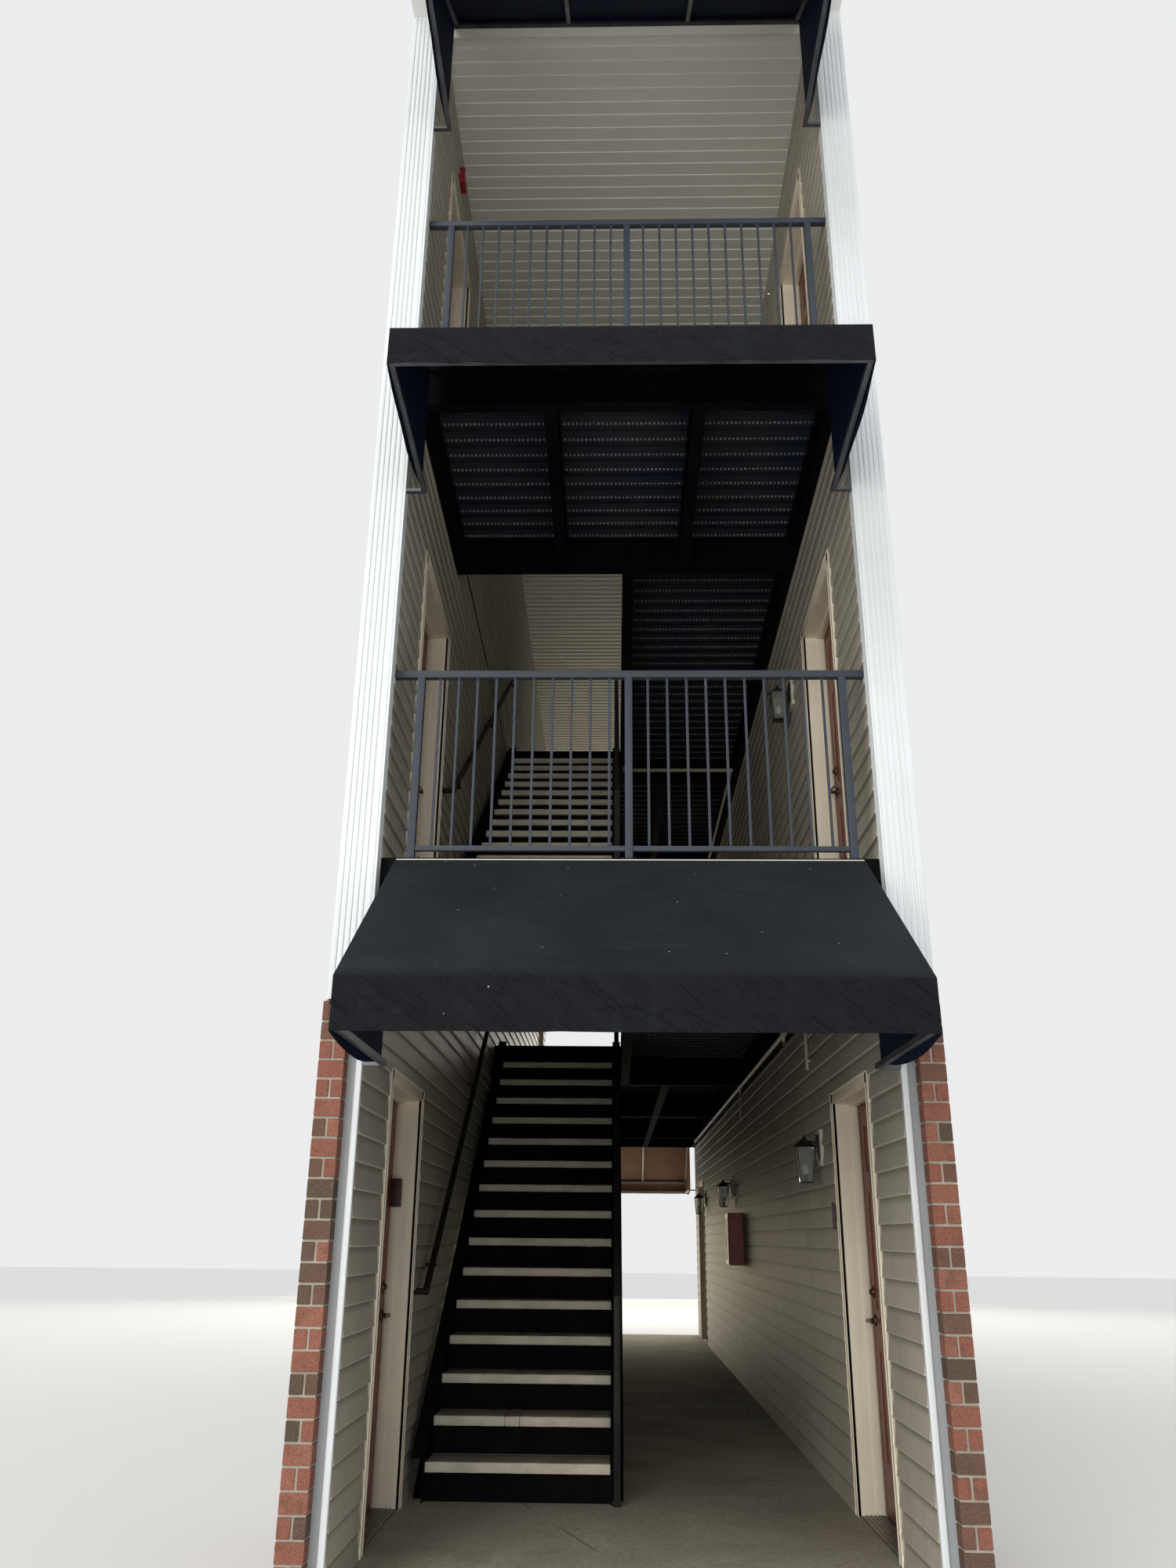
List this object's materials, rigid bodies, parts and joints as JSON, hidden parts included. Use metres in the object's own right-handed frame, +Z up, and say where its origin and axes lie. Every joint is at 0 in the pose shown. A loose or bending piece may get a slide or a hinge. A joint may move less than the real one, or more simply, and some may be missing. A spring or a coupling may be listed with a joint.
{
  "type": "open breezeway egress stair bay of an apartment building",
  "caption": "Open breezeway stair bay of a low apartment block: steel flights with concrete treads, steel decks, picket guards, dark awnings, brick base and flat doors.",
  "frame": {"origin": "middle of the ground footprint, at the lowest level of the walls", "axes": "+Z up, +Y from the front face of the building to the rear face, +X to the right seen from the front"},
  "size_m": [2.852, 16.04, 11.4942],
  "materials": {
    "ground_concrete": "trowelled concrete",
    "deck_concrete": "trowelled concrete",
    "tread_concrete": "precast concrete",
    "lap_siding": "satin vinyl",
    "brick": "fired clay with light mortar",
    "white_trim": "satin vinyl",
    "door_trim": "satin paint",
    "door_paint": "satin paint",
    "lock_bronze": "dark bronze",
    "black_steel": "satin paint, worn",
    "awning_cloth": "woven acrylic",
    "awning_tube": "galvanised, painted",
    "soffit_panel": "satin vinyl",
    "roof_shingle": "mineral granules",
    "lamp_metal": "satin",
    "red_cabinet": "gloss paint",
    "pipe_paint": "satin paint"
  },
  "bodies": {
    "building": {"ground_slab": "ground_concrete", "left_front_pier": "lap_siding", "left_door_head": "lap_siding", "left_ground_wall": "lap_siding", "left_upper_wall": "lap_siding", "right_front_pier": "lap_siding", "right_door_head": "lap_siding", "right_ground_wall": "lap_siding", "right_upper_wall": "lap_siding", "brick_facings": "brick", "front_corner_posts": "white_trim", "rear_corner_posts": "white_trim", "left_door_frames": "door_trim", "right_door_frames": "door_trim", "left_fixed_doors": "door_paint", "right_fixed_doors": "door_paint", "second_floor_slab": "deck_concrete", "third_floor_slab": "deck_concrete", "second_floor_pan": "black_steel", "third_floor_pan": "black_steel", "second_floor_beams": "black_steel", "third_floor_beams": "black_steel", "lower_flight_steel": "black_steel", "upper_flight_steel": "black_steel", "lower_flight_treads": "tread_concrete", "upper_flight_treads": "tread_concrete", "lower_flight_guard": "black_steel", "upper_flight_guard": "black_steel", "wall_handrails": "black_steel", "front_guards": "black_steel", "rear_guards": "black_steel", "second_floor_stair_guard": "black_steel", "third_floor_stair_guard": "black_steel", "front_ground_awning": "awning_cloth", "front_second_awning": "awning_cloth", "front_third_awning": "awning_cloth", "rear_awnings": "awning_cloth", "front_awning_frames": "awning_tube", "rear_awning_frames": "awning_tube", "ceiling": "soffit_panel", "roof_slopes": "roof_shingle", "eaves": "white_trim", "passage_lights": "lamp_metal", "extinguisher_cabinet": "red_cabinet", "sprinkler_pipes": "pipe_paint"},
    "left_door_leaf": {"left_door": "door_paint", "left_door_lock": "lock_bronze"},
    "right_door_leaf": {"right_door": "door_paint", "right_door_lock": "lock_bronze"}
  },
  "joints": [
    {"name": "left_door_hinge", "type": "hinge", "parent": "building", "child": "left_door_leaf", "pos_m": [-1.382, -6.2375, 1.1], "axis": [0, 0, 1], "range_deg": [0, 95]},
    {"name": "right_door_hinge", "type": "hinge", "parent": "building", "child": "right_door_leaf", "pos_m": [1.382, -6.2375, 1.1], "axis": [0, 0, -1], "range_deg": [0, 95]}
  ]
}
